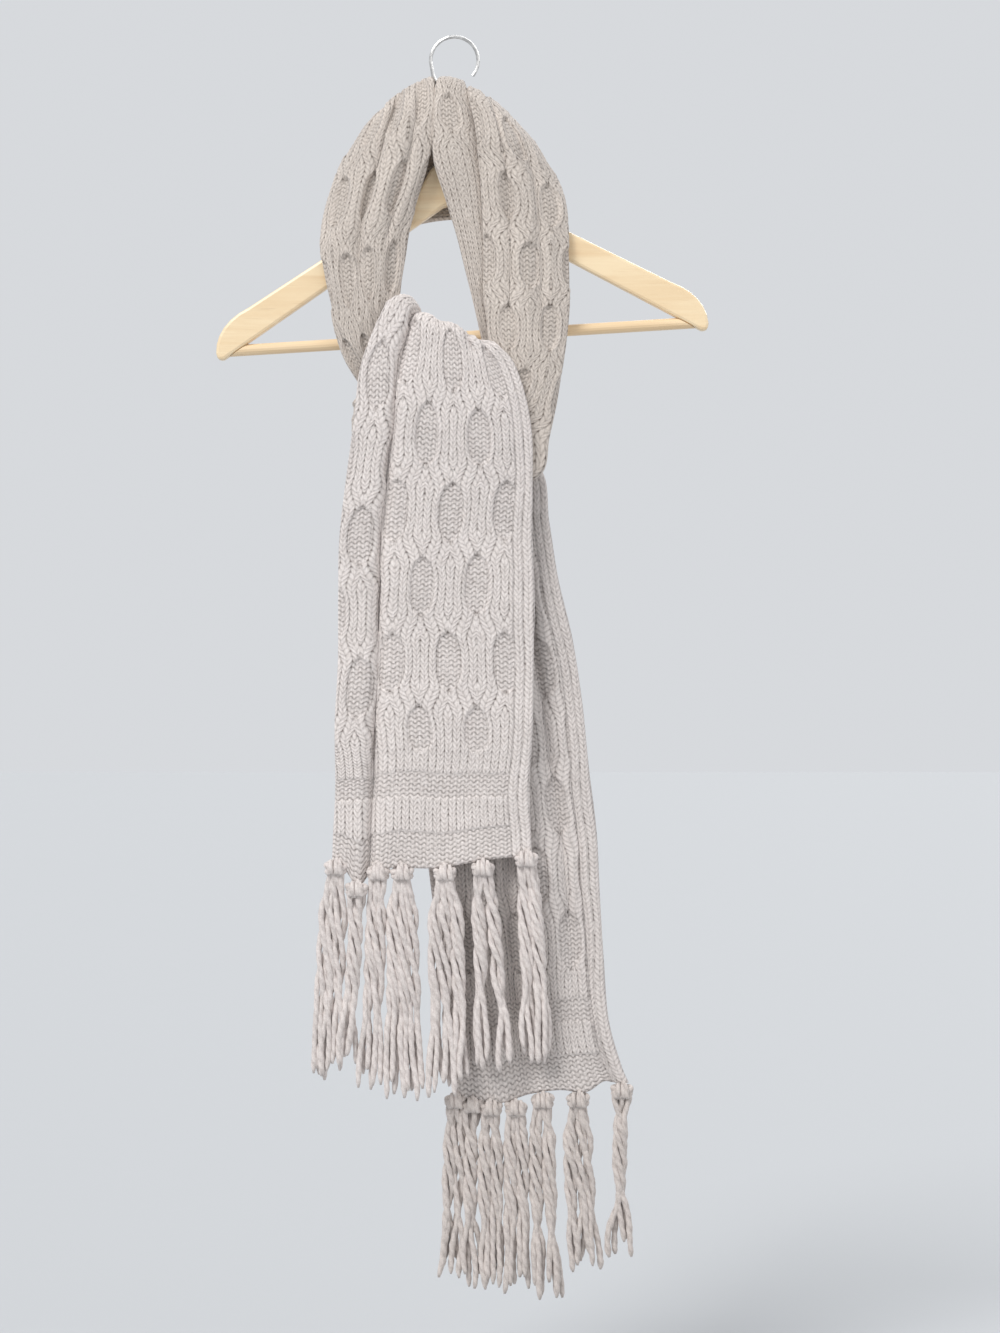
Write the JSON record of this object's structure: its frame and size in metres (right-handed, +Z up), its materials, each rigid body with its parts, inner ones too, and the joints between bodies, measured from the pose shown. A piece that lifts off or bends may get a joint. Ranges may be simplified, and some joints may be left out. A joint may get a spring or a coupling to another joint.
{
  "type": "knit scarf on a wooden clothes hanger",
  "caption": "Long chunky knit scarf with fringed ends, looped and half-knotted round a pale wooden clothes hanger with a round bar and a wire hook.",
  "frame": {"origin": "inside top of the hook, where a rail carries the hanger", "axes": "+Z up, +X to the viewer's right along the hanger, -Y to the front, where the short fringed tail hangs"},
  "size_m": [0.4464, 0.0848, 1.1452],
  "materials": {
    "wood": "pale smooth beech, thin clear satin lacquer",
    "hook_wire": "drawn steel wire, satin",
    "knit": "light warm grey heather wool blend, brushed and fuzzy, relief stitch",
    "yarn": "thick soft plied yarn, fuzzy"
  },
  "bodies": {
    "root": {"hanger_body": "wood", "hanger_bar": "wood", "hanger_hook": "hook_wire", "scarf_back_neck": "knit", "scarf_left_leg": "knit", "scarf_right_leg": "knit", "scarf_inner_strip": "knit", "scarf_wrap": "knit", "scarf_front_tail": "knit", "scarf_rear_tail": "knit", "fringe_front_1": "yarn", "fringe_front_2": "yarn", "fringe_front_3": "yarn", "fringe_front_4": "yarn", "fringe_front_5": "yarn", "fringe_front_6": "yarn", "fringe_front_7": "yarn", "fringe_rear_1": "yarn", "fringe_rear_2": "yarn", "fringe_rear_3": "yarn", "fringe_rear_4": "yarn", "fringe_rear_5": "yarn", "fringe_rear_6": "yarn", "fringe_rear_7": "yarn"}
  },
  "joints": []
}
